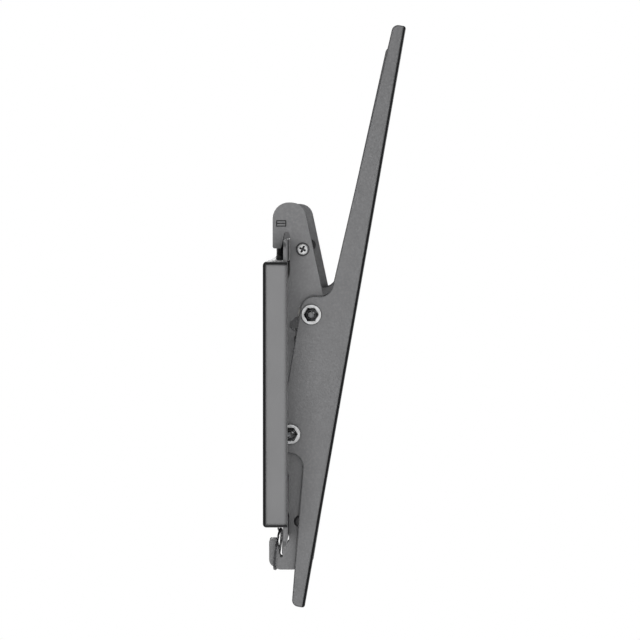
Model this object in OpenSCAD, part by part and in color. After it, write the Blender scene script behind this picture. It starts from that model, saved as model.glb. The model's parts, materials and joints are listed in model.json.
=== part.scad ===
// Tilting wall mount for a flat television.
// Frame: +Z up, X along the wall, the wall's surface is the plane Y = 0 and
// the television side is -Y. The origin is the centre of the wall plate's
// back face. Side outlines are drawn as [out, up], with out measured from
// the wall, and the left-hand parts are drawn with their outer side at -X.

/* [Overall] */
// Width over the two end caps
overall_w = 640; // [560:10:720]
// Distance between the centres of the two TV arms
arm_spacing = 400; // [340:10:420]
// Tilt of the left arm at rest, top away from the wall
tilt_left = 9.9; // [-4:0.1:11]
// Tilt of the right arm at rest
tilt_right = 9.4; // [-4:0.1:11]

/* [Wall plate] */
// Height of the channel
channel_h = 197.8; // [196:0.2:198]
// Depth of the channel from the wall to the front of the lips
channel_d = 17; // [16.8:0.1:17.2]
// Sheet thickness of the wall plate
wall_t = 2; // [1.8:0.1:2.2]
// Height of a lip above its flange
lip_h = 15.9; // [15:0.1:16.5]
// Width of a lag screw slot
slot_w = 8.5; // [6.5:0.5:10]
// Length of a lag screw slot, end to end
slot_l = 70; // [50:5:80]
// Height between the two rows of lag screw slots
slot_rows = 140; // [120:5:150]
// Stud spacing served by the outer slots
stud_spacing = 406.4; // [390:0.1:430]
// Spacing of the inner slots
inner_spacing = 203.2; // [190:0.1:230]
// Height of a cable window
window_h = 56; // [40:2:60]
// Width of a cable window
window_w = 150; // [100:5:160]

/* [End caps] */
// Thickness of an end cap along the wall
cap_w = 11; // [9:0.5:14]
// Depth of an end cap from the wall
cap_d = 18.3; // [18:0.1:19]
// Rounding of the end caps' edges
cap_round = 3; // [1:0.5:4]

/* [Hook plates] */
// Thickness of a hook plate
plate_t = 2.5; // [2:0.1:2.6]
// Clear space between the two hook plates of a hanger
plate_gap = 19; // [18:0.5:20]
// Height of the upper hook's top above the centre line
hook_top = 144; // [140:0.5:145]

/* [Level screw] */
// Distance of the level screw from the wall
level_out = 10.4; // [10:0.1:11]
// Diameter of the level screw
level_dia = 6; // [5:0.5:6]
// Length of the level screw
level_len = 31; // [28:1:34]

/* [Tilt] */
// Distance of the tilt centre from the wall
pivot_out = 59.9; // [59.5:0.1:60.5]
// Height of the tilt centre
pivot_up = 5.2; // [4.8:0.1:5.6]
// Most tilt away from the wall at the top
tilt_max = 12; // [11:0.5:12]
// Most tilt the other way
tilt_min = -5; // [-5:0.5:-3]
// Half the height between the two tilt bolts
bolt_up = 46.7; // [46:0.1:47.5]
// Depth of the tilt bolts behind the arm's face
bolt_deep = 33.7; // [33.4:0.1:34]

/* [TV arms] */
// Height of the arm above the tilt centre
arm_top = 276.9; // [270:0.1:290]
// Depth of the arm below the tilt centre
arm_bottom = 176.8; // [170:0.2:180]
// Width of the arm
arm_w = 34; // [33:0.5:36]
// Sheet thickness of the arm
arm_t = 2; // [1.8:0.1:2]
// Depth of the two ears behind the arm's face
ear_d = 42.7; // [42:0.1:43]
// Diameter of the round holes for the television's screws
vesa_dia = 8.8; // [6.5:0.1:9]

/* [Fasteners] */
// Diameter of the tilt bolts
bolt_dia = 6; // [5:0.1:6]
// Width across the flats of the nuts and bolt heads
hex_af = 10; // [9:0.1:11]
// Outer diameter of the outer washers
washer_dia = 15.8; // [14:0.2:16]
// Outer diameter of the friction washers
friction_dia = 20.4; // [18:0.2:20.6]

/* [Latch] */
// Travel of the latch
latch_travel = 9; // [8.8:0.1:9.2]
// Diameter of the latch pin
latch_pin_dia = 5; // [4:0.5:5]
// Outer diameter of the pull ring
ring_dia = 33; // [32.8:0.1:33.2]

/* [Hidden] */
PARTS = [
    "hook_plate_outer", "hook_plate_inner", "nut_block", "plate_spacer",
    "plate_screws", "screw_washers", "tip_bridge", "spring_seat", "latch_pin",
    "latch_spacer", "level_foot", "level_screw", "tilt_arm", "tilt_bolts",
    "slot_sleeves", "friction_washers", "spacer_washers", "outer_washers",
    "nyloc_nuts", "nylon_inserts", "latch", "latch_spring", "pull_ring"
];

$fn = 48;
round_step = 15;    // degrees between the points of a rounded corner
through = 1;        // how far a cutter runs past the face that it cuts
slip = 0.05;        // radial clearance of a running fit
free = 0.1;         // clearance of a loose fit

// Wall plate
plate_half = overall_w / 2 - cap_w;
channel_half = channel_h / 2;
bend_out = 2.8;
bend_in = 0.8;
lip_round = 6;
window_x = 110;
window_round = 3;

// End caps
cap_half_h = channel_half - 0.1;
cap_wall = 2;
plug_l = 12;
plug_t = 5;
plug_d = 11;

// Hook plates
plate_in = plate_gap / 2;
plate_out = plate_in + plate_t;
hook_bottom = 139.9;
slot_half = 4.2;
slot_steps = 10;
block_out = 11.5;
block_up = 127;
tenon_d = 6.4;
tenon_h = 3.6;
tenon_gap = 0.65;
groove = 0.7;
tenon_end = plate_out + 0.3;
block_d = 10;
block_h = 8;
screw_at = [28, 107.1];
pin_at = [26, -102.6];
spacer_dia = 9;
plate_screw_dia = 4;
plate_head_dia = 8.6;
plate_head_h = 1.9;
screw_washer_dia = 10.4;
screw_washer_t = 0.6;
cross_w = 1.2;
cross_l = 5;
cross_deep = 1.2;
cross_turn = 25;

// Level screw
foot_dia = 6.4;
foot_h = 3.2;
pilot_dia = 3.4;
pilot_l = 2.2;
hex_key = 3;
hex_key_deep = 3.5;

// Tilt mechanism, along X from the middle of the arm
bolt_angle = atan2(bolt_up, bolt_deep);
bolt_radius = norm([bolt_deep, bolt_up]);
arm_in = arm_w / 2 - arm_t;
arm_out = arm_w / 2;
sleeve_dia = 2 * slot_half - 2 * free;
friction_t = 1.5;
outer_washer_t = 1.6;
nut_h = 5;
collar_h = 1.2;
collar_dia = 8.8;
bolt_end = 1.1;
head_h = 4;
insert_dia = 7.6;
hex_turn = 20;

// TV arm
arm_bend_out = 2.8;
arm_bend_in = 0.8;
tip_d = 10.2;
foot_d = 10.1;
neck_top_d = 21.8;
neck_low_d = 20.8;
ear_up = 61.4;
vesa_centre = (arm_top - arm_bottom) / 2;
vesa_round = [100, 200];
vesa_slots = [50, 150];
vesa_slot_l = 24;

// Latch
latch_t = 2;
latch_x = -plate_in + free;
latch_head_dia = 9.4;
latch_head_h = 1.2;
latch_sleeve_dia = 8;
eye_at = [11.3, -108.4];
eye_dia = 3.1;
seat_up = -134;
seat_h = 2.4;
seat_at = 21.6;
shelf_up = -109.5;
shelf_t = 1.5;
shelf_l = 12;
shelf_d = 8;
spring_x = -1;
spring_dia = 7;
spring_wire = 0.8;
spring_turns = 7;
ring_band = 1.8;
ring_wall = 1.1;
ring_lean = 8;
ring_yaw = 5;
ring_shift = 2.35;

// ---------------------------------------------------------------- outlines

function unit(v) = v / norm(v);

// Points of one corner b, between a and c, rounded to radius r.
function corner(a, b, c, r) =
    r == 0 ? [b] :
    let (
        back = unit(a - b),
        on = unit(c - b),
        half = acos(back * on) / 2,
        centre = b + unit(back + on) * r / sin(half),
        first = b + back * r / tan(half) - centre,
        sweep = (cross(back, on) < 0 ? 1 : -1) * (180 - 2 * half),
        steps = max(2, ceil(abs(sweep) / round_step)),
        start = atan2(first[1], first[0])
    )
    [for (i = [0:steps]) centre + r * [cos(start + sweep * i / steps), sin(start + sweep * i / steps)]];

// Outline through corners given as [x, y, radius].
function rounded(corners) =
    let (n = len(corners), at = [for (p = corners) [p[0], p[1]]])
    [for (i = [0:n - 1]) each corner(at[(i + n - 1) % n], at[i], at[(i + 1) % n], corners[i][2])];

module outline(corners) polygon(rounded(corners));

module rounded_box_2d(w, h, r)
    outline([[-w / 2, -h / 2, r], [w / 2, -h / 2, r], [w / 2, h / 2, r], [-w / 2, h / 2, r]]);

module slot_2d(length, width) {
    square([length - width, width], center = true);
    for (end = [-1, 1]) translate([end * (length - width) / 2, 0]) circle(d = width);
}

// ------------------------------------------------------------------ frames

// Extrudes an [out, up] outline along X, from x_low over a width.
module across(x_low, width)
    translate([x_low + width, 0, 0]) rotate([90, 0, -90]) linear_extrude(width) children();

// A round bar along X, through the point at = [out, up].
module bar(at, x_low, length, dia)
    translate([x_low, -at[0], at[1]]) rotate([0, 90, 0]) cylinder(d = dia, h = length);

module left_side() translate([-arm_spacing / 2, 0, 0]) children();

module right_side() translate([arm_spacing / 2, 0, 0]) mirror([1, 0, 0]) children();

// Turns a piece drawn in the arm's own frame: Y is the depth behind the
// arm's face and Z the height above the tilt centre.
module tilted(angle)
    translate([0, -pivot_out, pivot_up]) rotate([angle, 0, 0]) children();

// Places a piece at both tilt bolts of an arm.
module at_bolts()
    for (end = [-1, 1]) translate([0, bolt_deep, end * bolt_up]) children();

module tube_x(x_low, length, outer, inner)
    translate([x_low, 0, 0]) rotate([0, 90, 0]) difference() {
        cylinder(d = outer, h = length);
        translate([0, 0, -through]) cylinder(d = inner, h = length + 2 * through);
    }

// -------------------------------------------------------------- wall plate

module channel_section()
    outline([
        [0, -channel_half, bend_out],
        [0, channel_half, bend_out],
        [channel_d - wall_t, channel_half, bend_in],
        [channel_d - wall_t, channel_half + lip_h, 0.6],
        [channel_d, channel_half + lip_h, 0.6],
        [channel_d, channel_half - wall_t, bend_out],
        [wall_t, channel_half - wall_t, bend_in],
        [wall_t, wall_t - channel_half, bend_in],
        [channel_d, wall_t - channel_half, bend_out],
        [channel_d, -channel_half - lip_h, 0.6],
        [channel_d - wall_t, -channel_half - lip_h, 0.6],
        [channel_d - wall_t, -channel_half, bend_in]
    ]);

// Cuts a flat outline, drawn as [x, up], through the back of the plate.
module through_back()
    translate([0, through, 0]) rotate([90, 0, 0]) linear_extrude(wall_t + 2 * through) children();

module wall_plate() color("dimgray") difference() {
    intersection() {
        across(-plate_half, 2 * plate_half) channel_section();
        translate([0, through, 0]) rotate([90, 0, 0]) linear_extrude(channel_d + 2 * through)
            rounded_box_2d(2 * plate_half, channel_h + 2 * lip_h, lip_round);
    }
    for (row = [-1, 1], side = [-1, 1], spacing = [stud_spacing, inner_spacing])
        translate([side * spacing / 2, 0, row * slot_rows / 2]) through_back() slot_2d(slot_l, slot_w);
    for (side = [-1, 1])
        translate([side * window_x, 0, 0]) through_back()
            rounded_box_2d(window_w, window_h, window_round);
}

// Drawn for the right end; the open back faces the channel.
module end_cap() color("gray") {
    difference() {
        intersection() {
            across(plate_half, cap_w) outline([
                [0, -cap_half_h, cap_round], [0, cap_half_h, cap_round],
                [cap_d, cap_half_h, 0.5], [cap_d, -cap_half_h, 0.5]
            ]);
            translate([0, 0, -channel_h]) linear_extrude(2 * channel_h) outline([
                [plate_half, 0, 0], [overall_w / 2, 0, cap_round],
                [overall_w / 2, -cap_d, 0.4], [plate_half, -cap_d, 0]
            ]);
            translate([0, through, 0]) rotate([90, 0, 0]) linear_extrude(cap_d + 2 * through) outline([
                [plate_half, -cap_half_h, 0], [overall_w / 2, -cap_half_h, cap_round],
                [overall_w / 2, cap_half_h, cap_round], [plate_half, cap_half_h, 0]
            ]);
        }
        across(plate_half - through, cap_w - cap_wall - 1 + through)
            translate([wall_t + 0.5, -cap_half_h + wall_t + 1])
                square([cap_d - cap_wall - wall_t - 0.5, 2 * (cap_half_h - wall_t - 1)]);
    }
    for (end = [0, 1]) mirror([0, 0, end])
        across(plate_half - plug_l, plug_l + cap_w - cap_wall)
            translate([wall_t + free + 0.4, channel_half - wall_t - free - 0.4 - plug_t])
                square([plug_d, plug_t]);
}

// ----------------------------------------------------------------- hangers

// Point at a radius and an angle about the tilt centre, as [out, up].
function on_arc(radius, angle) =
    [pivot_out - radius * cos(angle), pivot_up + radius * sin(angle)];

// Direction that leaves the tilt centre at an angle, turned on by a further one.
function away(angle, turn) = [-cos(angle + turn), sin(angle + turn)];

// The slot that a tilt bolt sweeps; the bolt rests at the given angle.
module arc_slot(angle) {
    low = angle + tilt_min;
    high = angle + tilt_max;
    polygon(concat(
        [for (i = [0:slot_steps]) on_arc(bolt_radius - slot_half, low + (high - low) * i / slot_steps)],
        [for (i = [1:slot_steps - 1])
            on_arc(bolt_radius, high) - slot_half * away(high, -180 * i / slot_steps)],
        [for (i = [0:slot_steps]) on_arc(bolt_radius + slot_half, high - (high - low) * i / slot_steps)],
        [for (i = [1:slot_steps - 1])
            on_arc(bolt_radius, low) + slot_half * away(low, -180 * i / slot_steps)]
    ));
}

module hook_outline()
    outline([
        [4.9, 107.7, 1.5], [4.9, hook_top, 12.5], [28.6, hook_top - 1.5, 11],
        [48.4, 50, 6], [24.5, 43, 5], [17.5, 34.6, 4], [14.5, 33.5, 2],
        [14.5, -17, 8], [22, -23.5, 8], [40.5, -40, 8],
        [36, -90, 30], [26, -hook_bottom, 7], [9.5, -hook_bottom, 5], [2.1, -135.6, 6],
        [2.1, -116.9, 1.5], [8.3, -116.9, 1], [10.7, -130.4, 0.8],
        [12.4, -130.4, 0.8], [12.4, -123, 2], [17.4, -118, 2],
        [17.4, -66, 8], [4.5, -52, 8], [4.5, 72, 8],
        [18.1, 86, 8], [18.1, 120.4, 2.5], [14.1, 120.4, 1.5], [11.4, 107.7, 1.5]
    ]);

module hook_plate(x_low) difference() {
    across(x_low, plate_t) difference() {
        hook_outline();
        arc_slot(bolt_angle);
        arc_slot(-bolt_angle);
        translate([block_out, block_up])
            square([tenon_d + 2 * tenon_gap, tenon_h + 2 * tenon_gap], center = true);
    }
    bar(screw_at, x_low - through, plate_t + 2 * through, plate_screw_dia + 2 * free);
    bar(pin_at, x_low - through, plate_t + 2 * through, latch_pin_dia + 2 * slip);
}

module hook_plate_outer() color("dimgray") hook_plate(-plate_out);

module hook_plate_inner() color("dimgray") hook_plate(plate_in);

module nut_block() color("darkslategray") difference() {
    union() {
        across(-plate_in, plate_gap) translate([block_out, block_up])
            square([block_d, block_h], center = true);
        across(-tenon_end, 2 * tenon_end) translate([block_out, block_up])
            square([tenon_d, tenon_h], center = true);
    }
    for (side = [-1, 1])
        across(side * tenon_end - groove, 2 * groove) translate([block_out, block_up])
            square([tenon_d + 2 * through, groove], center = true);
    translate([0, -level_out, block_up - block_h])
        cylinder(d = level_dia + 2 * slip, h = 2 * block_h);
}

module plate_spacer() color("silver") difference() {
    bar(screw_at, -plate_in, plate_gap, spacer_dia);
    bar(screw_at, -plate_in - through, plate_gap + 2 * through, plate_screw_dia);
}

// One screw along +X with its head at the origin, washer face at X = 0.
module plate_screw() difference() {
    union() {
        rotate([0, 90, 0]) cylinder(d = plate_screw_dia, h = plate_t + 6);
        rotate([0, 90, 0]) rotate_extrude() outline([
            [0, 0, 0], [plate_head_dia / 2, 0, 0.2],
            [plate_head_dia / 2, -plate_head_h, 1.3], [0, -plate_head_h, 0]
        ]);
    }
    for (arm = [0, 90]) rotate([cross_turn + arm, 0, 0])
        translate([cross_deep / 2 - plate_head_h - through, 0, 0])
            cube([cross_deep + 2 * through, cross_l, cross_w], center = true);
}

module plate_screws() color("gainsboro")
    for (end = [0, 1]) mirror([end, 0, 0])
        translate([-plate_out - screw_washer_t, -screw_at[0], screw_at[1]]) plate_screw();

module screw_washers() color("#303030")
    for (end = [0, 1]) mirror([end, 0, 0]) translate([0, -screw_at[0], screw_at[1]])
        tube_x(-plate_out - screw_washer_t, screw_washer_t, screw_washer_dia, plate_screw_dia + 2 * free);

module tip_bridge() color("dimgray")
    across(-plate_in, plate_gap)
        outline([[3.4, -126, 1], [3.4, -116.9, 1], [7.4, -116.9, 0.5], [7.4, -126, 1]]);

module spring_seat() color("dimgray") {
    across(-plate_in, plate_gap) translate([seat_at - 3.6, seat_up - seat_h])
        square([7.2, seat_h]);
    translate([spring_x, -seat_at, seat_up - through])
        cylinder(d = spring_dia - 2 * spring_wire - 1, h = 3 + through);
}

module latch_pin() color("#202020") {
    bar(pin_at, -plate_out - latch_head_h, latch_head_h, latch_head_dia);
    bar(pin_at, -plate_out, 2 * plate_out, latch_pin_dia);
    bar(pin_at, plate_out, latch_head_h, latch_head_dia);
}

module latch_spacer() color("silver") difference() {
    bar(pin_at, latch_x + latch_t + 2 * free, plate_in - latch_x - latch_t - 2 * free, latch_sleeve_dia);
    bar(pin_at, -plate_in - through, plate_gap + 2 * through, latch_pin_dia + 2 * slip);
}

// ------------------------------------------------------------- level screw

module level_foot() color("#282828")
    translate([0, -level_out, channel_half]) rotate_extrude() outline([
        [0, 0, 0], [foot_dia / 2, 0, 0.5], [foot_dia / 2, foot_h, 0.3],
        [pilot_dia / 2 + slip, foot_h, 0], [pilot_dia / 2 + slip, foot_h - pilot_l - slip, 0],
        [0, foot_h - pilot_l - slip, 0]
    ]);

module level_screw() color("#202020")
    translate([0, -level_out, channel_half + foot_h]) difference() {
        union() {
            cylinder(d = level_dia, h = level_len);
            translate([0, 0, -pilot_l]) cylinder(d = pilot_dia, h = pilot_l + 0.5);
        }
        translate([0, 0, level_len - hex_key_deep])
            cylinder(d = hex_key / cos(30), h = hex_key_deep + through, $fn = 6);
    }

// ----------------------------------------------------------------- TV arms

// Side outline of the arm as [depth behind the face, height].
module arm_outline()
    outline([
        [0, arm_top, 2], [tip_d, arm_top, 5], [neck_top_d, ear_up, 10],
        [ear_d, ear_up, 11], [ear_d, -ear_up, 10], [neck_low_d, -ear_up, 10],
        [foot_d, -arm_bottom, 5], [0, -arm_bottom, 2]
    ]);

module arm_section()
    outline([
        [-arm_out, ear_d + through, 0], [-arm_out, 0, arm_bend_out],
        [arm_out, 0, arm_bend_out], [arm_out, ear_d + through, 0],
        [arm_in, ear_d + through, 0], [arm_in, arm_t, arm_bend_in],
        [-arm_in, arm_t, arm_bend_in], [-arm_in, ear_d + through, 0]
    ]);

module tilt_arm(angle) color("dimgray") tilted(angle) difference() {
    intersection() {
        translate([0, 0, -arm_bottom - through])
            linear_extrude(arm_top + arm_bottom + 2 * through) arm_section();
        translate([-arm_w, 0, 0]) rotate([90, 0, 90]) linear_extrude(2 * arm_w) arm_outline();
    }
    at_bolts() rotate([0, 90, 0]) cylinder(d = bolt_dia + 4 * free, h = 2 * arm_w, center = true);
    for (half = [-1, 1]) {
        for (reach = vesa_round)
            translate([0, arm_t + through, vesa_centre + half * reach])
                rotate([90, 0, 0]) cylinder(d = vesa_dia, h = arm_t + 2 * through);
        for (reach = vesa_slots)
            translate([0, arm_t + through, vesa_centre + half * reach]) rotate([90, 0, 0])
                linear_extrude(arm_t + 2 * through) rotate(90) slot_2d(vesa_slot_l, vesa_dia);
    }
}

// Hexagonal prism along X with both rims chamfered.
module hex_x(x_low, height) {
    rim = hex_af / cos(30) / 2;
    translate([x_low, 0, 0]) rotate([0, 90, 0]) intersection() {
        rotate(hex_turn) cylinder(r = rim, h = height, $fn = 6);
        rotate_extrude() polygon([
            [0, 0], [rim - 0.5, 0], [rim + 0.4, 0.7], [rim + 0.4, height - 0.7],
            [rim - 0.5, height], [0, height]
        ]);
    }
}

washer_x = -arm_out - outer_washer_t;
nut_x = washer_x - nut_h;
collar_x = nut_x - collar_h;

module tilt_bolts(angle) color("silver") tilted(angle) at_bolts() {
    translate([collar_x - bolt_end, 0, 0]) rotate([0, 90, 0])
        cylinder(d = bolt_dia, h = arm_out - collar_x + bolt_end + 0.5);
    hex_x(arm_out, head_h);
}

module slot_sleeves(angle) color("#3a3a3a") tilted(angle) at_bolts()
    tube_x(-plate_out - slip, 2 * plate_out + 2 * slip, sleeve_dia, bolt_dia + 2 * slip);

module friction_washers(angle) color("#d8d4c8") tilted(angle) at_bolts()
    for (end = [0, 1]) mirror([end, 0, 0])
        tube_x(-plate_out - slip - friction_t, friction_t, friction_dia, bolt_dia + 2 * free);

module spacer_washers(angle) color("silver") tilted(angle) at_bolts()
    for (end = [0, 1]) mirror([end, 0, 0])
        tube_x(-arm_in, arm_in - plate_out - slip - friction_t, washer_dia, bolt_dia + 2 * free);

module outer_washers(angle) color("gainsboro") tilted(angle) at_bolts()
    tube_x(washer_x, outer_washer_t, washer_dia, bolt_dia + 4 * free);

module nyloc_nuts(angle) color("gainsboro") tilted(angle) at_bolts() difference() {
    union() {
        hex_x(nut_x, nut_h);
        translate([nut_x + 0.5, 0, 0]) rotate([0, -90, 0]) rotate_extrude()
            outline([[0, 0, 0], [collar_dia / 2, 0, 0], [collar_dia / 2, collar_h + 0.5, 0.8],
                [0, collar_h + 0.5, 0]]);
    }
    rotate([0, 90, 0]) cylinder(d = bolt_dia + 2 * slip, h = 4 * arm_w, center = true);
    translate([collar_x - through, 0, 0]) rotate([0, 90, 0])
        cylinder(d = insert_dia, h = collar_h + through + 0.8);
}

module nylon_inserts(angle) color("#5070a0") tilted(angle) at_bolts()
    tube_x(collar_x + 0.2, collar_h + 0.6, insert_dia, bolt_dia);

// ------------------------------------------------------------------- latch

module latch() color("#303030") difference() {
    union() {
        across(latch_x, latch_t) outline([
            [20, -84, 2], [30.4, -84, 2], [30.4, -104, 3], [25.5, -113, 4],
            [24, -124.5, 3], [16.6, -124.5, 1], [16.6, -129, 1],
            [11.8, -129, 2], [12.3, -112, 0], [eye_at[0], eye_at[1], 0],
            [14, -108, 1], [14.4, -118.4, 1.2], [20, -118.4, 2]
        ]);
        bar(eye_at, latch_x, latch_t, 5.6);
        translate([latch_x, -seat_at - shelf_d / 2, shelf_up - shelf_t])
            cube([shelf_l, shelf_d, shelf_t]);
    }
    bar(eye_at, latch_x - through, latch_t + 2 * through, eye_dia);
    hull() for (rise = [0, latch_travel])
        bar([pin_at[0], pin_at[1] + rise], latch_x - through, latch_t + 2 * through,
            latch_pin_dia + 4 * free, $fn = 32);
}

// A coil spring: one round wire swept along its helix.
module latch_spring() color("silver") {
    low = seat_up + spring_wire / 2;
    high = shelf_up - shelf_t - spring_wire / 2;
    coil_r = (spring_dia - spring_wire) / 2;
    sides = 6;
    per_turn = 14;
    rings = spring_turns * per_turn;
    points = [
        for (i = [0:rings], k = [0:sides - 1])
        let (
            around = 360 * i / per_turn,
            wire = 360 * k / sides,
            r = coil_r + spring_wire / 2 * cos(wire)
        )
        [
            spring_x + r * cos(around), -seat_at + r * sin(around),
            low + (high - low) * i / rings + spring_wire / 2 * sin(wire)
        ]
    ];
    walls = [
        for (i = [0:rings - 1], k = [0:sides - 1])
        let (a = i * sides + k, b = i * sides + (k + 1) % sides)
        [a, b, b + sides, a + sides]
    ];
    ends = [[for (k = [sides - 1:-1:0]) k], [for (k = [0:sides - 1]) rings * sides + k]];
    polyhedron(points, concat(walls, ends));
}

// The ring hangs in the latch's eye and loops round the outer hook plate.
module pull_ring() color("silver") {
    middle = ring_dia / 2 - ring_wall / 2;
    rise = sqrt(middle * middle - ring_shift * ring_shift);
    translate([latch_x + latch_t / 2, -eye_at[0], eye_at[1]]) rotate([ring_lean, 0, -ring_yaw])
        translate([-ring_shift, 0, -rise]) rotate([90, 0, 0]) rotate_extrude() outline([
            [middle - ring_wall / 2, -ring_band / 2, 0.3], [middle + ring_wall / 2, -ring_band / 2, 0.3],
            [middle + ring_wall / 2, ring_band / 2, 0.3], [middle - ring_wall / 2, ring_band / 2, 0.3]
        ]);
}

// ---------------------------------------------------------------- assembly

// Draws a sub-part on the left and on the right.
module pair(name) {
    left_side() children();
    right_side() children();
}

// The same for a piece of the arms: the first child is the left one.
module arm_pair(name) {
    left_side() children(0);
    right_side() children(1);
}

wall_plate();
mirror([1, 0, 0]) end_cap();  // end_cap_left
end_cap();  // end_cap_right
pair("hook_plate_outer") hook_plate_outer();
pair("hook_plate_inner") hook_plate_inner();
pair("nut_block") nut_block();
pair("plate_spacer") plate_spacer();
pair("plate_screws") plate_screws();
pair("screw_washers") screw_washers();
pair("tip_bridge") tip_bridge();
pair("spring_seat") spring_seat();
pair("latch_pin") latch_pin();
pair("latch_spacer") latch_spacer();
pair("level_foot") level_foot();
pair("level_screw") level_screw();
pair("latch") latch();
pair("latch_spring") latch_spring();
pair("pull_ring") pull_ring();
arm_pair("tilt_arm") {
    tilt_arm(tilt_left);
    tilt_arm(tilt_right);
}
arm_pair("tilt_bolts") {
    tilt_bolts(tilt_left);
    tilt_bolts(tilt_right);
}
arm_pair("slot_sleeves") {
    slot_sleeves(tilt_left);
    slot_sleeves(tilt_right);
}
arm_pair("friction_washers") {
    friction_washers(tilt_left);
    friction_washers(tilt_right);
}
arm_pair("spacer_washers") {
    spacer_washers(tilt_left);
    spacer_washers(tilt_right);
}
arm_pair("outer_washers") {
    outer_washers(tilt_left);
    outer_washers(tilt_right);
}
arm_pair("nyloc_nuts") {
    nyloc_nuts(tilt_left);
    nyloc_nuts(tilt_right);
}
arm_pair("nylon_inserts") {
    nylon_inserts(tilt_left);
    nylon_inserts(tilt_right);
}
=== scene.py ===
import json
import math

import bmesh
import bpy
from mathutils import Matrix, Vector


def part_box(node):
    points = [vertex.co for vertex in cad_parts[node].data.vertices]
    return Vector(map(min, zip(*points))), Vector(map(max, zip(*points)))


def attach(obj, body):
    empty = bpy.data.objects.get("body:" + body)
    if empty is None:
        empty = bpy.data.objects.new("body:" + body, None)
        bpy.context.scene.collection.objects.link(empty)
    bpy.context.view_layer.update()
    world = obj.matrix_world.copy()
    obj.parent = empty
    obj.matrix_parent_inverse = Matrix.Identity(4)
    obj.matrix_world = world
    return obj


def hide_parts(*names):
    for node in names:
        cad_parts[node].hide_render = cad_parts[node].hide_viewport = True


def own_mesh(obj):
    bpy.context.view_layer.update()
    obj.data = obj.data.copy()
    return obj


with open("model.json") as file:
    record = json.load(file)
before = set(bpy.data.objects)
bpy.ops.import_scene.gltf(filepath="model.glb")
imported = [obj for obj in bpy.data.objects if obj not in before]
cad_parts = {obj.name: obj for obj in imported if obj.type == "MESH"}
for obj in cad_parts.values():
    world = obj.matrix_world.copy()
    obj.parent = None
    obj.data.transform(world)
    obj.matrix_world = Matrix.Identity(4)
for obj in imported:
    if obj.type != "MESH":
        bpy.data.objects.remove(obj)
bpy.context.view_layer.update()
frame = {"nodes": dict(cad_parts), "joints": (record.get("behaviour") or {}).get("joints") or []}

JOINTS = {joint["name"]: joint for joint in frame["joints"]}
SIDES = ("left", "right")
CENTRE_X = {side: JOINTS["level_screw_" + side + "_spin"]["pos_m"][0] for side in SIDES}
MIRROR = {"left": 1, "right": -1}
TILT = {"left": 9.9, "right": 9.4}
MM = 0.001


# ------------------------------------------------------------------ places
# Millimetres, read from the left side. X is measured from the middle of the hanger and arm,
# -Y points away from the wall, and a pair is (Y, Z).
def near_mm(metres):
    """Millimetres to one decimal; a CAD circle is a polygon, so its box is slightly off."""
    return round(metres / MM, 1)


def from_middle(point):
    return (near_mm(point[0] - CENTRE_X["left"]), near_mm(point[1]), near_mm(point[2]))


def joint_at(name):
    return from_middle(JOINTS[name]["pos_m"])


def middle_of(node):
    low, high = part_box(node)
    return from_middle([(a + b) / 2 for a, b in zip(low, high)])


def side_face(node):
    """X of the low side of a CAD node."""
    return from_middle(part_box(node)[0])[0]


PIVOT = joint_at("tilt_left")[1:]
LEVEL_Y = joint_at("level_screw_left_spin")[1]
RING_AT = joint_at("ring_left_swing")
SCREW_AT = middle_of("plate_screws_left")[1:]
PIN_AT = middle_of("latch_pin_left")[1:]
SPRING_AT = middle_of("latch_spring_left")
SPRING_FOOT = near_mm(JOINTS["latch_left_pull"]["deforming_nodes"][0]["fixed_end_z_m"])
SCREW_SEAT = side_face("screw_washers_left")
EAR_FACE = -side_face("tilt_arm_left")

# Sizes in millimetres. The tilt bolts stand at BOLT (depth, height) from the pivot, in the arm's
# own upright frame, and at the same depth below it.
BOLT = (33.7, 46.7)
BOLT_BORE = 3.2
BOLT_RADIUS = 2.99
BOLT_PITCH = 1.0
HEAD_FACE = 21
NUT_SPAN = (-23.6, -18.6)
FLATS = 10
FLATS_TURN = 20
CHAMFER = 0.577
WASHER_RADIUS = 7.9
NYLON_RADIUS = 10.2
PAN_HEIGHT = 1.9
HOOK_FACE = 12.0

# Steps round a turned shape.
FINE = 96
EVEN = 64
COARSE = 48


# ------------------------------------------------------------------ camera
def make_camera():
    data = bpy.data.cameras.new("photo_camera")
    data.sensor_width = 36
    data.lens = 214.6
    data.clip_start = 0.05
    data.clip_end = 60
    camera = bpy.data.objects.new("photo_camera", data)
    bpy.context.scene.collection.objects.link(camera)
    place = Vector((-3.147, -0.0737, 0.134))
    target = Vector((-0.217, -0.0414, 0.0528))
    camera.location = place
    camera.rotation_euler = (target - place).to_track_quat("-Z", "Y").to_euler()
    bpy.context.scene.camera = camera


# ------------------------------------------------------------------ lights
def area_light(name, place, target, size, power):
    data = bpy.data.lights.new(name, "AREA")
    data.shape = "RECTANGLE"
    data.size = size[0]
    data.size_y = size[1]
    data.energy = power
    light = bpy.data.objects.new(name, data)
    bpy.context.scene.collection.objects.link(light)
    light.location = place
    aim = Vector(target) - Vector(place)
    light.rotation_euler = aim.to_track_quat("-Z", "Y").to_euler()
    light.visible_camera = False
    return light


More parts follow.
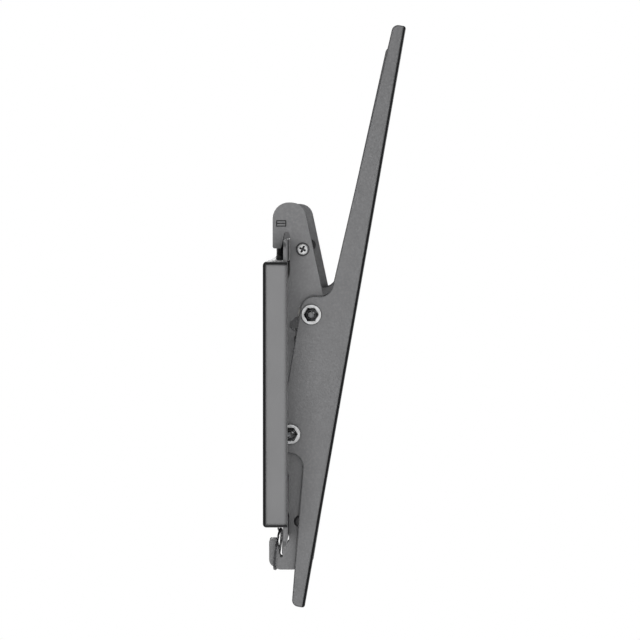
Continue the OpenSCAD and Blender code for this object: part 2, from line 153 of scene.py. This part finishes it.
def make_world(camera_level, light_level):
    world = bpy.data.worlds.new("studio")
    bpy.context.scene.world = world
    world.use_nodes = True
    tree = world.node_tree
    tree.nodes.clear()
    out = tree.nodes.new("ShaderNodeOutputWorld")
    mix = tree.nodes.new("ShaderNodeMixShader")
    path = tree.nodes.new("ShaderNodeLightPath")
    seen = tree.nodes.new("ShaderNodeBackground")
    seen.inputs["Color"].default_value = (1, 1, 1, 1)
    seen.inputs["Strength"].default_value = camera_level
    fill = tree.nodes.new("ShaderNodeBackground")
    fill.inputs["Color"].default_value = (0.97, 0.985, 1, 1)
    fill.inputs["Strength"].default_value = light_level
    tree.links.new(path.outputs["Is Camera Ray"], mix.inputs[0])
    tree.links.new(fill.outputs[0], mix.inputs[1])
    tree.links.new(seen.outputs[0], mix.inputs[2])
    tree.links.new(mix.outputs[0], out.inputs[0])


def make_lights():
    middle = (-0.2, -0.05, 0.05)
    area_light("softbox_photo", (-3.25, 0.0, 0.04), middle, (1.15, 1.15), 22.5)
    area_light("softbox_front", (-0.9, -2.7, 2.1), (0, 0, 0.05), (1.8, 1.4), 62)
    area_light("softbox_front_low", (2.4, -3.6, 0.1), (0, 0, 0), (1.8, 1.3), 50)
    area_light("softbox_far_end", (3.5, 0.5, 1.2), (0.2, 0, 0.05), (1.6, 1.4), 26)
    area_light("softbox_back", (0.7, 2.7, 1.9), (0, 0, 0.05), (1.8, 1.4), 62)
    area_light("softbox_top", (0.6, -0.9, 3.2), (0, 0, 0), (1.6, 1.6), 34)


def make_floor():
    mesh = bpy.data.meshes.new("floor")
    work = bmesh.new()
    bmesh.ops.create_circle(work, cap_ends=True, radius=3.3, segments=96)
    work.to_mesh(mesh)
    work.free()
    floor = bpy.data.objects.new("floor", mesh)
    bpy.context.scene.collection.objects.link(floor)
    floor.location = (0, 0, -0.6)
    floor.data.materials.append(floor_material())


# --------------------------------------------------------------- materials
def start_material(name, color, roughness, metallic=0.0):
    material = bpy.data.materials.new(name)
    material.use_nodes = True
    material.diffuse_color = (*color, 1)
    tree = material.node_tree
    shader = tree.nodes["Principled BSDF"]
    shader.inputs["Base Color"].default_value = (*color, 1)
    shader.inputs["Roughness"].default_value = roughness
    shader.inputs["Metallic"].default_value = metallic
    return material, tree, shader


def object_point(tree):
    return tree.nodes.new("ShaderNodeTexCoord").outputs["Object"]


def noise(tree, point, scale, detail=2.0, rough=0.5):
    node = tree.nodes.new("ShaderNodeTexNoise")
    node.inputs["Scale"].default_value = scale
    node.inputs["Detail"].default_value = detail
    node.inputs["Roughness"].default_value = rough
    tree.links.new(point, node.inputs["Vector"])
    return node.outputs["Fac"]


def remap(tree, value, low, high, to_low, to_high):
    node = tree.nodes.new("ShaderNodeMapRange")
    node.inputs["From Min"].default_value = low
    node.inputs["From Max"].default_value = high
    node.inputs["To Min"].default_value = to_low
    node.inputs["To Max"].default_value = to_high
    tree.links.new(value, node.inputs["Value"])
    return node.outputs["Result"]


def blend_colors(tree, factor, first, second):
    node = tree.nodes.new("ShaderNodeMix")
    node.data_type = "RGBA"
    sockets = [s for s in node.inputs if s.type == "RGBA"]
    tree.links.new(factor, node.inputs[0])
    for socket, color in zip(sockets, (first, second)):
        if isinstance(color, tuple):
            socket.default_value = (*color, 1)
        else:
            tree.links.new(color, socket)
    return [s for s in node.outputs if s.type == "RGBA"][0]


def bump(tree, shader, height, strength, distance, before=None):
    node = tree.nodes.new("ShaderNodeBump")
    node.inputs["Strength"].default_value = strength
    node.inputs["Distance"].default_value = distance
    tree.links.new(height, node.inputs["Height"])
    if before is not None:
        tree.links.new(before, node.inputs["Normal"])
    tree.links.new(node.outputs["Normal"], shader.inputs["Normal"])
    return node.outputs["Normal"]


def edge_mask(tree, radius, low, high):
    """1 along edges, 0 on open faces."""
    bevel = tree.nodes.new("ShaderNodeBevel")
    bevel.samples = 4
    bevel.inputs["Radius"].default_value = radius
    geometry = tree.nodes.new("ShaderNodeNewGeometry")
    dot = tree.nodes.new("ShaderNodeVectorMath")
    dot.operation = "DOT_PRODUCT"
    tree.links.new(bevel.outputs["Normal"], dot.inputs[0])
    tree.links.new(geometry.outputs["Normal"], dot.inputs[1])
    return remap(tree, dot.outputs["Value"], high, low, 0, 1)


def combine(tree, operation, first, second=None):
    node = tree.nodes.new("ShaderNodeMath")
    node.operation = operation
    tree.links.new(first, node.inputs[0])
    if second is not None:
        tree.links.new(second, node.inputs[1])
    return node.outputs[0]


def bend_mask(tree):
    """1 where a face turns between the side walls and the front, 0 on flat faces."""
    geometry = tree.nodes.new("ShaderNodeNewGeometry")
    split = tree.nodes.new("ShaderNodeSeparateXYZ")
    tree.links.new(geometry.outputs["Normal"], split.inputs[0])
    turn = combine(tree, "ABSOLUTE", split.outputs["X"])
    rise = remap(tree, turn, 0.12, 0.35, 0, 1)
    fall = remap(tree, turn, 0.985, 0.93, 0, 1)
    return combine(tree, "MULTIPLY", rise, fall)


def paint_edge_shade(tree, tone, radius, depth, low, high, bends=False):
    """Paints shade along edges, and with bends also on faces that turn between the side walls and the
    front.
    """
    edge = edge_mask(tree, radius, low, high)
    if bends:
        edge = combine(tree, "MAXIMUM", edge, bend_mask(tree))
    # painted shade: the tone is blended towards near black along edges and bends
    dark = blend_colors(tree, remap(tree, edge, 0, 1, 0, depth), tone, (0.012, 0.012, 0.013))
    return dark, edge


def painted_shade_mask(tree, reach):
    """Painted shade mask: 1 on open faces, less where other faces stand within reach."""
    node = tree.nodes.new("ShaderNodeAmbientOcclusion")
    node.samples = 8
    node.inputs["Distance"].default_value = reach
    return node.outputs["AO"]


def coat(name, light, radius, depth, low_edge, high_edge, bends=False):
    """Fine-textured powder coat over steel, with painted shade along edges and bends and in nooks,
    where its reflection is dimmed as well.
    """
    rough = 0.4
    material, tree, shader = start_material(name, light, rough, 0.5)
    point = object_point(tree)
    grain = noise(tree, point, 1500, 3, 0.6)
    cloud = noise(tree, point, 40, 3, 0.55)
    speck = noise(tree, point, 520, 3, 0.6)
    low = tuple(0.87 * c for c in light)
    high = tuple(1.22 * c for c in light)
    tone = blend_colors(tree, remap(tree, cloud, 0.3, 0.7, 0, 1), low, light)
    tone = blend_colors(tree, remap(tree, speck, 0.45, 0.75, 0, 0.7), tone, high)
    # painted shade along edges and bends
    tone, edge = paint_edge_shade(tree, tone, radius, depth, low_edge, high_edge, bends)
    # painted shade: the colour darkens towards 0.6 of itself where other faces stand near
    shade_ao = painted_shade_mask(tree, 0.016)
    shaded_tone = tuple(0.6 * c for c in light)
    tone = blend_colors(tree, remap(tree, shade_ao, 0.35, 0.9, 0, 1), shaded_tone, tone)
    tree.links.new(tone, shader.inputs["Base Color"])
    # the painted shade also dims the reflection there
    shade_sheen_factor = remap(tree, shade_ao, 0.35, 0.9, 0.55, 1)
    # the reflection is dimmed in the painted shade along edges and in nooks
    shine = remap(tree, edge, 0, 1, 0.9, 0.9 * (1 - depth))
    shine = combine(tree, "MULTIPLY", shine, shade_sheen_factor)
    tree.links.new(shine, shader.inputs["Specular IOR Level"])
    tree.links.new(remap(tree, grain, 0.3, 0.7, rough - 0.04, rough + 0.07),
                   shader.inputs["Roughness"])
    fine = bump(tree, shader, grain, 0.5, 0.00012)
    bump(tree, shader, speck, 0.25, 0.0001, fine)
    return material


def cap_plastic():
    material, tree, shader = start_material("cap_plastic", (0.13, 0.13, 0.133), 0.37, 0.3)
    point = object_point(tree)
    grain = noise(tree, point, 2600, 2, 0.5)
    cloud = noise(tree, point, 26, 2, 0.5)
    tone = blend_colors(tree, remap(tree, cloud, 0.3, 0.7, 0, 1),
                        (0.112, 0.112, 0.115), (0.126, 0.126, 0.129))
    # painted shade along the cap's edges and rounded bends, where its reflection is dimmed too
    tone, edge = paint_edge_shade(tree, tone, 0.0045, 0.93, 0.9, 0.993, True)
    tree.links.new(tone, shader.inputs["Base Color"])
    tree.links.new(remap(tree, grain, 0.3, 0.7, 0.36, 0.42), shader.inputs["Roughness"])
    tree.links.new(remap(tree, edge, 0, 1, 0.95, 0.2), shader.inputs["Specular IOR Level"])
    bump(tree, shader, grain, 0.2, 0.00005)
    return material


def plated(name, dark, light, rough, scale=260, rim=0.0):
    """Bare or plated metal, slightly uneven; a rim width paints shade along its edges and bends and
    dims their reflection.
    """
    material, tree, shader = start_material(name, light, rough, 1.0)
    point = object_point(tree)
    cloud = noise(tree, point, scale, 4, 0.6)
    grain = noise(tree, point, 2400, 3, 0.6)
    tone = blend_colors(tree, remap(tree, cloud, 0.3, 0.7, 0, 1), dark, light)
    if rim:
        # painted shade along edges and bends
        tone, edge = paint_edge_shade(tree, tone, rim, 0.85, 0.8, 0.985, True)
        tree.links.new(remap(tree, edge, 0, 1, 0.5, 0.1), shader.inputs["Specular IOR Level"])
    tree.links.new(tone, shader.inputs["Base Color"])
    tree.links.new(remap(tree, cloud, 0.3, 0.7, rough - 0.06, rough + 0.08),
                   shader.inputs["Roughness"])
    bump(tree, shader, grain, 0.2, 0.00003)
    return material


def black_oxide():
    material, tree, shader = start_material("black_oxide", (0.02, 0.02, 0.022), 0.42, 0.35)
    point = object_point(tree)
    cloud = noise(tree, point, 320, 4, 0.6)
    grain = noise(tree, point, 2600, 2, 0.5)
    tone = blend_colors(tree, remap(tree, cloud, 0.35, 0.7, 0, 1),
                        (0.016, 0.016, 0.018), (0.034, 0.033, 0.034))
    tree.links.new(tone, shader.inputs["Base Color"])
    tree.links.new(remap(tree, cloud, 0.3, 0.7, 0.34, 0.52), shader.inputs["Roughness"])
    bump(tree, shader, grain, 0.2, 0.00003)
    return material


def moulded(name, dark, light, roughness):
    material, tree, shader = start_material(name, light, roughness)
    point = object_point(tree)
    cloud = noise(tree, point, 180, 3, 0.5)
    grain = noise(tree, point, 2200, 2, 0.5)
    tone = blend_colors(tree, remap(tree, cloud, 0.3, 0.7, 0, 1), dark, light)
    tree.links.new(tone, shader.inputs["Base Color"])
    spread = remap(tree, grain, 0.3, 0.7, roughness - 0.06, roughness + 0.08)
    tree.links.new(spread, shader.inputs["Roughness"])
    bump(tree, shader, grain, 0.2, 0.00004)
    return material


def floor_material():
    material, tree, shader = start_material("floor_paper", (0.86, 0.86, 0.86), 0.9)
    point = object_point(tree)
    cloud = noise(tree, point, 3, 3, 0.5)
    tone = blend_colors(tree, cloud, (0.85, 0.85, 0.85), (0.88, 0.88, 0.88))
    tree.links.new(tone, shader.inputs["Base Color"])
    return material


def make_materials():
    return {
        # The coats paint shade along edges and bends and in nooks; cap_plastic, zinc_bright and
        # zinc_nut paint shade along edges and bends.
        "powder_coat": coat("powder_coat", (0.140, 0.140, 0.143), 0.0006, 0.45, 0.8, 0.985),
        "arm_coat": coat("powder_coat_arm", (0.124, 0.124, 0.127), 0.0020, 0.96, 0.9, 0.995,
                         bends=True),
        "cap_plastic": cap_plastic(),
        "zinc": plated("zinc", (0.40, 0.405, 0.415), (0.52, 0.52, 0.515), 0.42),
        "zinc_bright": plated("zinc_bright", (0.42, 0.425, 0.435), (0.54, 0.54, 0.535), 0.45,
                              rim=0.0009),
        "zinc_nut": plated("zinc_nut", (0.22, 0.221, 0.225), (0.34, 0.34, 0.34), 0.3, rim=0.0007),
        "block_end": coat("powder_coat_block", (0.140, 0.140, 0.143), 0.0006, 0.95, 0.85, 0.99),
        "zinc_dark": plated("zinc_dark", (0.045, 0.046, 0.05), (0.09, 0.09, 0.09), 0.3),
        "black_oxide": black_oxide(),
        "black_plastic": moulded("black_plastic", (0.022, 0.022, 0.024), (0.032, 0.032, 0.034), 0.5),
        "nylon": moulded("nylon", (0.58, 0.57, 0.53), (0.68, 0.67, 0.63), 0.45),
        "insert_nylon": moulded("insert_nylon", (0.03, 0.03, 0.035), (0.05, 0.05, 0.055), 0.45),
        "spring_steel": plated("spring_steel", (0.07, 0.07, 0.075), (0.12, 0.12, 0.125), 0.3, 900),
    }


# ------------------------------------------------------------ mesh helpers
def ring_points(x, radius, centre, steps):
    """One ring about an X axis; x and radius are numbers or functions of the angle."""
    points = []
    for i in range(steps):
        turn = 2 * math.pi * i / steps
        r = radius(turn) if callable(radius) else radius
        depth = x(turn) if callable(x) else x
        points.append((depth, centre[0] + r * math.sin(turn), centre[1] - r * math.cos(turn)))
    return points


def add_rings(work, rings, loop=False, caps=False):
    rows = [[work.verts.new(point) for point in ring] for ring in rings]
    count = len(rows[0])
    follow = rows[1:] + rows[:1] if loop else rows[1:]
    for here, there in zip(rows, follow):
        for i in range(count):
            j = (i + 1) % count
            work.faces.new((here[i], here[j], there[j], there[i]))
    if caps:
        work.faces.new(rows[0])
        work.faces.new(rows[-1])


def turned(profile, centre, steps):
    """Rings for a list of (x, radius) about the X axis through centre."""
    return [ring_points(x, r, centre, steps) for x, r in profile]


def add_profile(work, profile, centre, steps=EVEN, loop=True):
    add_rings(work, turned(profile, centre, steps), loop)


def hex_angle_reach(flats, turn_deg):
    """Radius of a hexagon as a function of the angle, in radians."""
    def reach(turn):
        angle = (math.degrees(turn) - turn_deg) % 60 - 30
        return flats / 2 / math.cos(math.radians(angle))
    return reach


def thread(low, high, radius, depth, pitch, centre):
    """Rings of a screw thread about the X axis, with a chamfer at both ends."""
    rings = []
    steps = max(2, round((high - low) / pitch * 8))
    for i in range(steps + 1):
        x = low + (high - low) * i / steps

        def reach(turn, x=x):
            phase = (x / pitch - turn / (2 * math.pi)) % 1
            ridge = min(1, max(0, 1.15 - abs(phase - 0.5) * 3.4))
            inset = max(0, 0.75 - (x - low), 0.75 - (high - x))
            return min(radius - depth * (1 - ridge), radius - inset)
        rings.append(ring_points(x, reach, centre, COARSE))
    return rings


def hanger_place(point, side):
    """From a hanger's millimetres to metres; the right side is a mirror image."""
    return (MIRROR[side] * point[0] * MM, point[1] * MM, point[2] * MM)


def arm_place(point, side):
    """The same for an arm, which is drawn upright and then tilted about its pivot."""
    x, depth, height = point
    turn = math.radians(TILT[side])
    y = PIVOT[0] + depth * math.cos(turn) - height * math.sin(turn)
    z = PIVOT[1] + depth * math.sin(turn) + height * math.cos(turn)
    return (MIRROR[side] * x * MM, y * MM, z * MM)


def make_piece(work, name, side, place, slot, body, nodes, angle=35, looks=None):
    """Places a mesh, gives it its materials, ties it to its body and hides the CAD nodes that it
    stands for.
    """
    for vert in work.verts:
        vert.co = place(vert.co, side)
    bmesh.ops.remove_doubles(work, verts=work.verts, dist=0.000002)
    bmesh.ops.recalc_face_normals(work, faces=work.faces)
    mesh = bpy.data.meshes.new(name + "_" + side)
    work.to_mesh(mesh)
    work.free()
    for look in looks or [slot]:
        mesh.materials.append(MATERIALS[look])
    mesh.polygons.foreach_set("use_smooth", [True] * len(mesh.polygons))
    mesh.set_sharp_from_angle(angle=math.radians(angle))
    piece = bpy.data.objects.new(name + "_" + side, mesh)
    bpy.context.scene.collection.objects.link(piece)
    piece.location = (CENTRE_X[side], 0, 0)
    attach(piece, body + "_" + side)
    for node in nodes:
        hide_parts(node + "_" + side)
    return piece


# ------------------------------------------------------- fasteners, rebuilt
def bolt_centres():
    """Both tilt bolts of an arm, in the arm's own depth and height."""
    return [(BOLT[0], BOLT[1]), (BOLT[0], -BOLT[1])]


def washer_profile(low, high, inner, outer, edge):
    """A stamped washer: its outer rim is rounded, its bore is slightly broken."""
    return [
        (low, inner + 0.15), (low, inner + 0.3), (low, outer - edge - 0.15), (low, outer - edge),
        (low + 0.3 * edge, outer - 0.3 * edge), (low + edge, outer), (high - edge, outer),
        (high - 0.3 * edge, outer - 0.3 * edge), (high, outer - edge),
        (high, outer - edge - 0.15), (high, inner + 0.3), (high, inner + 0.15),
        (high - 0.15, inner), (low + 0.15, inner)
    ]


def nut(work, centre):
    """A hexagon with chamfered corners and the collar that is turned in over its insert."""
    reach = hex_angle_reach(FLATS, FLATS_TURN)
    low, high = NUT_SPAN
    flat = 4.78

    def top(turn):
        return low + 0.05 + (reach(turn) - flat) * CHAMFER

    def base(turn):
        return high - (reach(turn) - flat) * CHAMFER
    profile = [
        (high, 3.05), (high, 4.6), (high - 0.02, flat), (base, reach), (top, reach),
        (low + 0.05, flat), (low, 4.62), (low - 0.05, 4.48), (low - 0.25, 4.40),
        (low - 0.62, 4.39), (low - 0.92, 4.27), (low - 1.12, 4.06), (low - 1.20, 3.88),
        (low - 1.14, 3.74), (low - 1.0, 3.70), (low - 0.2, 3.70), (low - 0.1, 3.05)
    ]
    add_profile(work, profile, centre, FINE)


def nyloc_nuts(side):
    work = bmesh.new()
    for centre in bolt_centres():
        nut(work, centre)
    make_piece(work, "lock_nuts", side, arm_place, "zinc", "arm", ["nyloc_nuts"], 28,
               ["zinc_nut"])


def inserts(side):
    work = bmesh.new()
    profile = [
        (-24.0, 3.06), (-24.42, 3.06), (-24.52, 3.14), (-24.58, 3.4), (-24.52, 3.6), (-24.4, 3.69),
        (-24.0, 3.69)
    ]
    for centre in bolt_centres():
        add_profile(work, profile, centre)
    make_piece(work, "lock_rings", side, arm_place, "insert_nylon", "arm", ["nylon_inserts"])


def bolt(work, centre):
    """A hexagon head at high X and a thread between end and start at low X."""
    reach = hex_angle_reach(FLATS, FLATS_TURN)
    head = HEAD_FACE
    seat = EAR_FACE
    end = -25.9
    start = -14.5
    flat = 4.72

    def top(turn):
        return head - 0.02 - (reach(turn) - flat) * CHAMFER
    tip = [(end + 0.04, 0.0), (end + 0.04, 1.9), (end, 2.1)]
    shank = [(start + 0.2, BOLT_RADIUS), (seat - 0.4, BOLT_RADIUS)]
    rings = turned(tip, centre, COARSE)
    rings += thread(end, start, BOLT_RADIUS, 0.36, BOLT_PITCH, centre)
    rings += turned(shank, centre, COARSE)
    add_rings(work, rings)
    profile = [
        (seat - 0.2, 2.9), (seat, 3.2), (seat, 4.6), (seat + 0.3, 4.7), (seat + 0.32, reach),
        (top, reach), (head, flat), (head, 3.6), (head - 0.3, 3.2), (head - 0.34, 0)
    ]
    add_profile(work, profile, centre, FINE, loop=False)


def bolts(side):
    work = bmesh.new()
    for centre in bolt_centres():
        bolt(work, centre)
    make_piece(work, "hex_bolts", side, arm_place, "zinc", "arm", ["tilt_bolts"], 28,
               ["zinc_dark"])


def washers(side):
    outer_side = ((NUT_SPAN[1], -EAR_FACE),)
    inner_side = ((-15.0, -13.55), (13.55, 15.0))
    nylon_side = ((-13.55, -12.05), (12.05, 13.55))
    sets = (
        ("rim_washers", "outer_washers", "zinc", "zinc_bright", WASHER_RADIUS, 0.45, outer_side),
        ("thrust_washers", "spacer_washers", "zinc", "zinc_bright", WASHER_RADIUS, 0.3, inner_side),
        ("nylon_washers", "friction_washers", "nylon", "nylon", NYLON_RADIUS, 0.3, nylon_side)
    )
    for name, node, slot, look, outer, edge, spans in sets:
        work = bmesh.new()
        for centre in bolt_centres():
            for low, high in spans:
                add_profile(work, washer_profile(low, high, BOLT_BORE, outer, edge), centre)
        make_piece(work, name, side, arm_place, slot, "arm", [node], looks=[look])


def block_prism(work, corners):
    """A convex block given as its 8 corners, the first four one end."""
    verts = [work.verts.new(corner) for corner in corners]
    for face in ((0, 1, 2, 3), (7, 6, 5, 4), (0, 4, 5, 1), (1, 5, 6, 2), (2, 6, 7, 3), (3, 7, 4, 0)):
        work.faces.new([verts[i] for i in face])


def cross_cutter(centre, top, sign):
    """The tapered cross of a recessed screw head."""
    work = bmesh.new()
    for turn in (25, 115):
        c, s = math.cos(math.radians(turn)), math.sin(math.radians(turn))
        corners = []
        for x, reach, half in ((top - 0.6 * sign, 3.2, 0.92), (top + 1.5 * sign, 1.5, 0.5)):
            for a, b in ((-reach, -half), (reach, -half), (reach, half), (-reach, half)):
                corners.append((x, centre[0] + a * c - b * s, centre[1] + a * s + b * c))
        block_prism(work, corners)
    bmesh.ops.recalc_face_normals(work, faces=work.faces)
    mesh = bpy.data.meshes.new("cutter")
    work.to_mesh(mesh)
    work.free()
    cutter = bpy.data.objects.new("cutter", mesh)
    bpy.context.scene.collection.objects.link(cutter)
    return cutter


def cut(work, cutter):
    """Cuts a mesh by another one and returns the result as a new bmesh."""
    mesh = bpy.data.meshes.new("blank")
    bmesh.ops.remove_doubles(work, verts=work.verts, dist=0.0002)
    bmesh.ops.recalc_face_normals(work, faces=work.faces)
    work.to_mesh(mesh)
    work.free()
    blank = bpy.data.objects.new("blank", mesh)
    bpy.context.scene.collection.objects.link(blank)
    change = blank.modifiers.new("cut", "BOOLEAN")
    change.operation = "DIFFERENCE"
    change.solver = "EXACT"
    change.use_self = True
    change.object = cutter
    graph = bpy.context.evaluated_depsgraph_get()
    result = bmesh.new()
    result.from_mesh(blank.evaluated_get(graph).to_mesh())
    bpy.data.objects.remove(blank)
    bpy.data.objects.remove(cutter)
    return result


def pan_screw(centre, sign):
    """A recessed pan-head screw; its head is on the low X side for sign 1."""
    work = bmesh.new()
    face = SCREW_SEAT
    profile = [
        (face + 8.2, 0), (face + 8.2, 1.5), (face + 7.8, 1.95), (face, 1.95), (face, 4.2),
        (face - 0.15, 4.3), (face - 1.1, 4.3), (face - 1.45, 4.24), (face - 1.68, 4.05),
        (face - 1.79, 3.7), (face - 1.84, 3.2), (face - 1.88, 2.0), (face - PAN_HEIGHT, 1.0),
        (face - PAN_HEIGHT, 0)
    ]
    add_profile(work, [(sign * x, r) for x, r in profile], centre, loop=False)
    return cut(work, cross_cutter(centre, sign * (face - PAN_HEIGHT), sign))


def paint_recess_shade(work, centre, sign):
    """Paints shade: the faces down inside the recess, and all of the inner screw, get the black look
    as painted shadow.
    """
    for face in work.faces:
        spot = face.calc_center_median()
        off = math.hypot(spot.y - centre[0], spot.z - centre[1])
        sunk = SCREW_SEAT - PAN_HEIGHT + 0.2 < sign * spot.x < SCREW_SEAT + 0.3
        face.material_index = 1 if sign < 0 or (sunk and off < 2.95) else 0


def join_into(work, other):
    mesh = bpy.data.meshes.new("part")
    other.to_mesh(mesh)
    other.free()
    work.from_mesh(mesh)
    bpy.data.meshes.remove(mesh)


def plate_screws(side):
    work = bmesh.new()
    for sign in (1, -1):
        screw = pan_screw(SCREW_AT, sign)
        paint_recess_shade(screw, SCREW_AT, sign)
        join_into(work, screw)
    # black_oxide on these screws is painted shade in the recess and on the inner screw
    make_piece(work, "recessed_screws", side, hanger_place, "zinc", "hanger", ["plate_screws"], 30,
               ["zinc", "black_oxide"])


def screw_washers(side):
    work = bmesh.new()
    for low, high in ((SCREW_SEAT, -HOOK_FACE), (HOOK_FACE, -SCREW_SEAT)):
        add_profile(work, washer_profile(low, high, 2.1, 5.2, 0.15), SCREW_AT)
    make_piece(work, "black_washers", side, hanger_place, "black_oxide", "hanger", ["screw_washers"])


def latch_pin(side):
    work = bmesh.new()
    half = [(12, 2.5), (12, 4.5), (12.15, 4.68), (12.4, 4.7), (12.75, 4.5), (13.0, 4.0), (13.15, 3.0),
            (13.2, 1.8), (13.2, 0)]
    profile = [(-x, r) for x, r in reversed(half)] + half
    add_profile(work, profile, PIN_AT, loop=False)
    make_piece(work, "guide_pin", side, hanger_place, "black_oxide", "hanger", ["latch_pin"])


def upright(points, y):
    """Stands points that were drawn about the X axis along Z, at the depth y."""
    return [(p[1], p[2] + y, p[0]) for p in points]


def level_screw(side):
    """A set screw with a plain pin below and a hexagon socket on top."""
    work = bmesh.new()
    low, high = 101.6, 132.6
    axis = (0, 0)
    pin = [(99.7, 0), (99.7, 1.6), (low, 1.65), (low, 2.1)]
    socket = hex_angle_reach(3, 0)
    top = [(high, 2.1), (high, 1.85), (high - 0.2, socket), (129.2, socket), (128.7, 0)]
    rings = turned(pin, axis, COARSE)
    rings += thread(low, high, BOLT_RADIUS, 0.38, BOLT_PITCH, axis)
    rings += turned(top, axis, COARSE)
    add_rings(work, [upright(ring, LEVEL_Y) for ring in rings])
    make_piece(work, "set_screw", side, hanger_place, "black_oxide", "screw", ["level_screw"], 30)


def level_foot(side):
    work = bmesh.new()
    base = 98.9
    profile = [(base, 0), (base, 2.9), (base + 0.1, 3.1), (base + 0.4, 3.2), (base + 2.7, 3.2),
               (base + 3.0, 3.12), (base + 3.2, 2.9), (base + 3.2, 1.75), (base + 0.95, 1.75),
               (base + 0.95, 0)]
    add_rings(work, [upright(ring, LEVEL_Y) for ring in turned(profile, (0, 0), COARSE)])
    make_piece(work, "foot_pad", side, hanger_place, "black_plastic", "foot", ["level_foot"])


# ------------------------------------------------------ swept wire and ring
def sweep(work, path, section, closed=False):
    """Carries a section, given as (outward, along), along a path of frames."""
    rings = []
    for place, outward, along in path:
        rings.append([place + outward * a + along * b for a, b in section])
    add_rings(work, rings, loop=closed, caps=not closed)


def spring_path(turns, low, high, radius, wire, steps):
    """A compression spring with a closed coil at each end; steps are those of one turn."""
    path = []
    count = int(turns * steps)
    ends = 1.15 / turns
    for i in range(count + 1):
        share = i / count
        turn = 2 * math.pi * turns * share
        if share < ends:
            rise = wire * 1.05 * share * turns
        elif share > 1 - ends:
            rise = (high - low) - wire * 1.05 * (1 - share) * turns
        else:
            first = wire * 1.05 * ends * turns
            rise = first + (high - low - 2 * first) * (share - ends) / (1 - 2 * ends)
        outward = Vector((math.cos(turn), math.sin(turn), 0))
        centre = outward * radius + Vector((SPRING_AT[0], SPRING_AT[1], low + rise))
        path.append((centre, outward, Vector((0, 0, 1))))
    return path


def latch_spring(side):
    work = bmesh.new()
    wire = 0.8
    half = wire / 2
    section = [(half * math.cos(2 * math.pi * k / 12), half * math.sin(2 * math.pi * k / 12))
               for k in range(12)]
    path = spring_path(turns=7, low=SPRING_FOOT + half, high=-111.4, radius=3.1, wire=wire,
                       steps=40)
    sweep(work, path, section)
    piece = make_piece(work, "coil", side, hanger_place, "spring_steel", "hanger",
                       ["latch_spring"], 50)
    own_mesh(piece)


def split_ring(side):
    """Two turns of flattened wire, which steps over from one layer to the next halfway."""
    work = bmesh.new()
    middle = 15.95
    aside = 2.35
    layer = 0.47
    steps = 240
    section = []
    for a, b in ((1, 1), (-1, 1), (-1, -1), (1, -1)):
        for k in range(4):
            turn = math.radians(22.5 * k + 11.25)
            c, s = (math.cos(turn), math.sin(turn)) if a * b > 0 else (math.sin(turn), math.cos(turn))
            section.append((a * (0.28 + 0.27 * c), b * (0.14 + 0.27 * s)))
    path = []
    for i in range(steps + 1):
        turn = 4 * math.pi * i / steps
        ease = min(1, max(0, (turn - 2 * math.pi) / 0.8 + 0.5))
        along = -layer + 2 * layer * ease * ease * (3 - 2 * ease)
        outward = Vector((math.cos(turn + 2.4), 0, math.sin(turn + 2.4)))
        path.append((outward * middle + Vector((0, along, 0)), outward, Vector((0, 1, 0))))
    sweep(work, path, section)
    rise = math.sqrt(middle * middle - aside * aside)
    place = (Matrix.Translation(RING_AT) @ Matrix.Rotation(math.radians(-5), 4, "Z")
             @ Matrix.Rotation(math.radians(8), 4, "X") @ Matrix.Translation((-aside, 0, -rise)))
    bmesh.ops.transform(work, matrix=place, verts=work.verts)
    make_piece(work, "split_ring", side, hanger_place, "spring_steel", "ring", ["pull_ring"], 40)


def make_hardware():
    for side in SIDES:
        for build in (nyloc_nuts, inserts, bolts, washers, plate_screws, screw_washers, latch_pin,
                      level_screw, level_foot, latch_spring, split_ring):
            build(side)


# -------------------------------------------------- carried-over CAD nodes
def dress(node, slot, width, segments=2, look=None):
    """Gives a CAD node its finish, rounded edges and even shading."""
    piece = frame["nodes"][node]
    piece.data.materials.clear()
    piece.data.materials.append(MATERIALS[look or slot])
    piece.data.polygons.foreach_set("material_index", [0] * len(piece.data.polygons))
    piece.data.polygons.foreach_set("use_smooth", [True] * len(piece.data.polygons))
    weld = piece.modifiers.new("weld", "WELD")
    weld.merge_threshold = 0.000002
    if width:
        planar = piece.modifiers.new("planar", "DECIMATE")
        planar.decimate_type = "DISSOLVE"
        planar.angle_limit = math.radians(0.4)
        bevel = piece.modifiers.new("bevel", "BEVEL")
        bevel.width = width
        bevel.segments = segments
        bevel.limit_method = "ANGLE"
        bevel.angle_limit = math.radians(32)
        bevel.use_clamp_overlap = True
    normal = piece.modifiers.new("normal", "WEIGHTED_NORMAL")
    normal.weight = 80
    normal.keep_sharp = False


def dress_ends(node, reach, look):
    """Gives the outermost end faces of a CAD node a look of their own."""
    piece = frame["nodes"][node]
    piece.data.materials.append(MATERIALS[look])
    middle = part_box(node)
    middle = (middle[0][0] + middle[1][0]) / 2
    for face in piece.data.polygons:
        if abs(face.center.x - middle) > reach:
            face.material_index = 1


def dress_frame():
    dress("wall_plate", "powder_coat", 0.0003)
    for side in SIDES:
        dress("end_cap_" + side, "cap_plastic", 0.0002)
        for name in ("hook_plate_outer", "hook_plate_inner"):
            dress(name + "_" + side, "powder_coat", 0.0003)
        dress("tilt_arm_" + side, "powder_coat", 0.0005, 3, "arm_coat")
        for name in ("tip_bridge", "spring_seat", "latch"):
            dress(name + "_" + side, "powder_coat", 0.0002)
        dress("nut_block_" + side, "black_oxide", 0.00015)
        dress_ends("nut_block_" + side, 0.0121, "block_end")
        for name in ("plate_spacer", "latch_spacer"):
            dress(name + "_" + side, "zinc", 0.00015)
        dress("slot_sleeves_" + side, "black_plastic", 0.00015)


make_camera()
make_world(1.0, 0.12)
make_lights()
make_floor()
MATERIALS = make_materials()
bpy.context.scene.view_settings.view_transform = "Standard"
dress_frame()
make_hardware()
